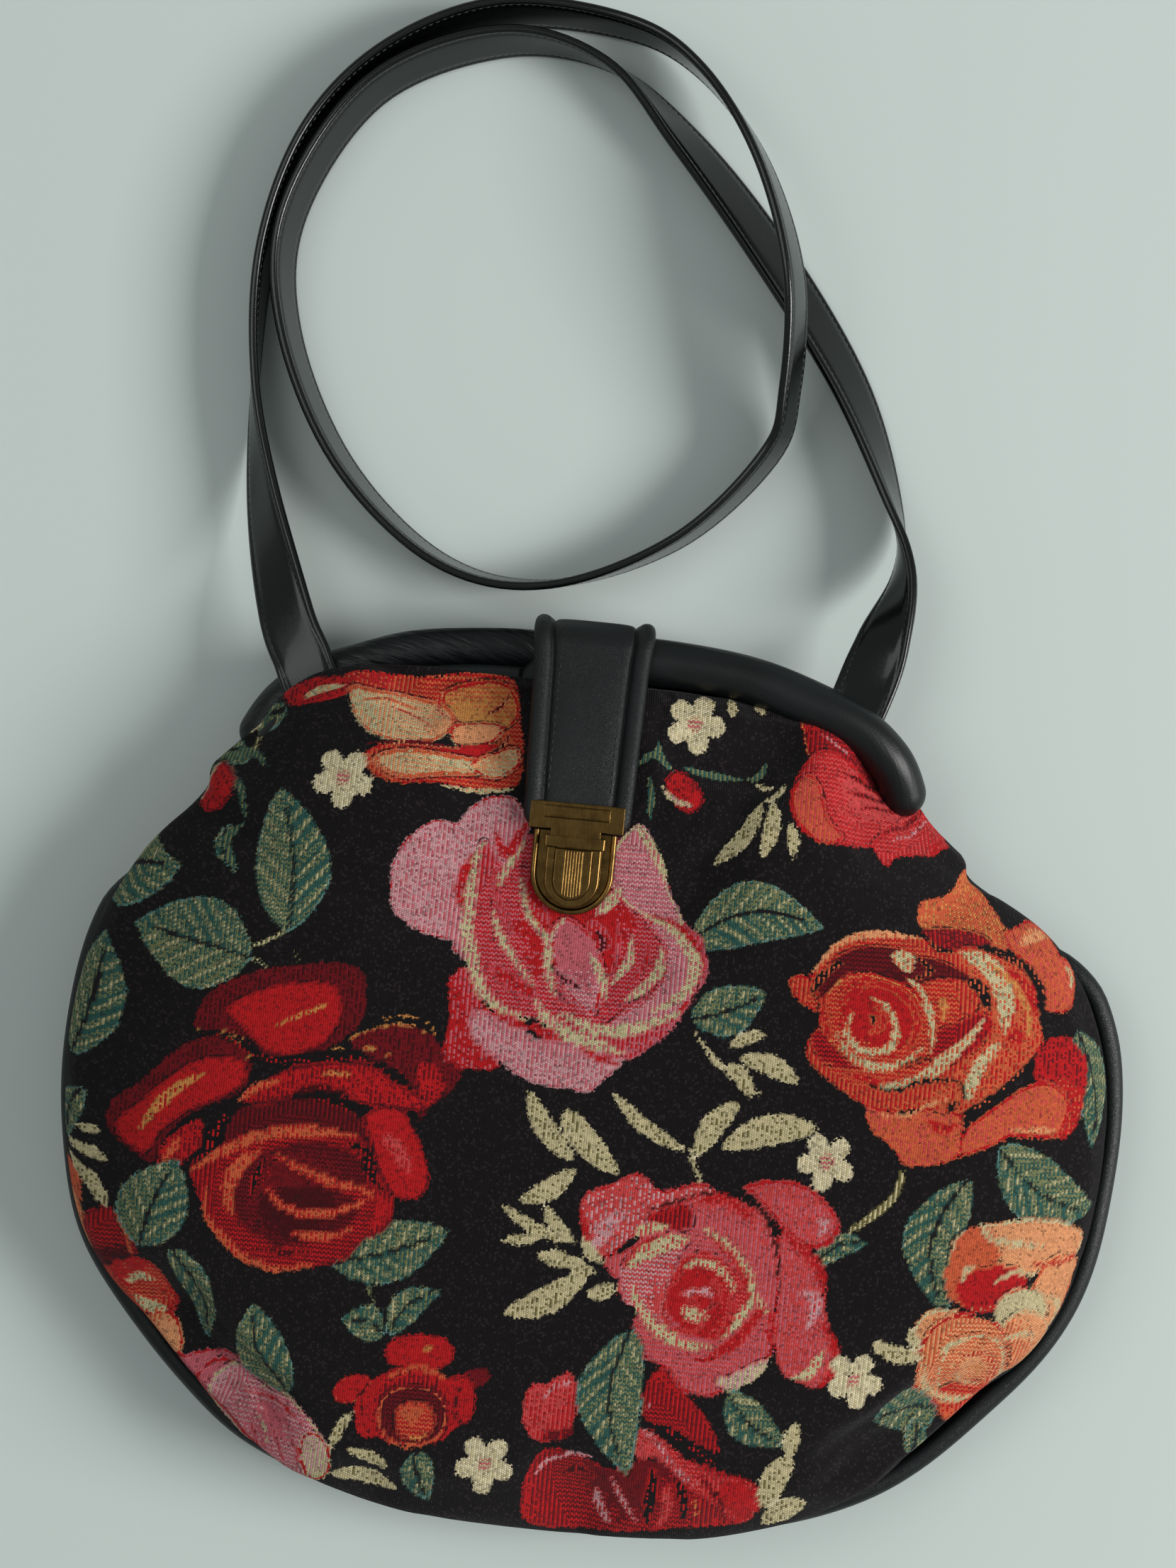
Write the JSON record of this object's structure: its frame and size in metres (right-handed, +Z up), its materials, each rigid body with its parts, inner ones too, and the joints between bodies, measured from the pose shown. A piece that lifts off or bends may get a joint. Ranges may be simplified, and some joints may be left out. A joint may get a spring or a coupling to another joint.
{
  "type": "shoulder handbag",
  "caption": "Soft woven shoulder bag with round foot, padded leather rims, centre tab with a tuck lock, piped seam and one flat strap, lying on its back.",
  "frame": {"origin": "middle of the flat back that the bag rests on", "axes": "+Z up from the surface, out of the bag's front; +Y from the foot towards the mouth and the strap; +X across the bag"},
  "size_m": [0.366, 0.5258, 0.064],
  "materials": {
    "tapestry": "woven, roses on black",
    "lining_cloth": "plain weave",
    "trim_leather": "satin",
    "strap_leather": "gloss",
    "rim_filling": "foam",
    "antique_brass": "antiqued, worn bright on its edges",
    "spring_steel": "bright"
  },
  "bodies": {
    "bag": {"front_panel": "tapestry", "back_panel": "tapestry", "lining": "lining_cloth", "side_piping": "trim_leather", "front_rim": "trim_leather", "front_rim_core": "rim_filling", "back_rim": "trim_leather", "back_rim_core": "rim_filling", "closure_tab": "trim_leather", "lock_tongue": "antique_brass", "tongue_backing": "antique_brass", "tongue_screws": "antique_brass", "lock_base": "antique_brass", "lock_washer": "antique_brass", "button_spring": "spring_steel", "shoulder_strap": "strap_leather"},
    "button": {"lock_button": "antique_brass"}
  },
  "joints": [
    {"name": "button_press", "type": "slide", "parent": "bag", "child": "button", "axis": [0, 0, -1], "range_m": [0, 0.0012], "stiffness_N_per_m": 500, "springref_m": -0.001, "deforming": ["button_spring"]}
  ]
}
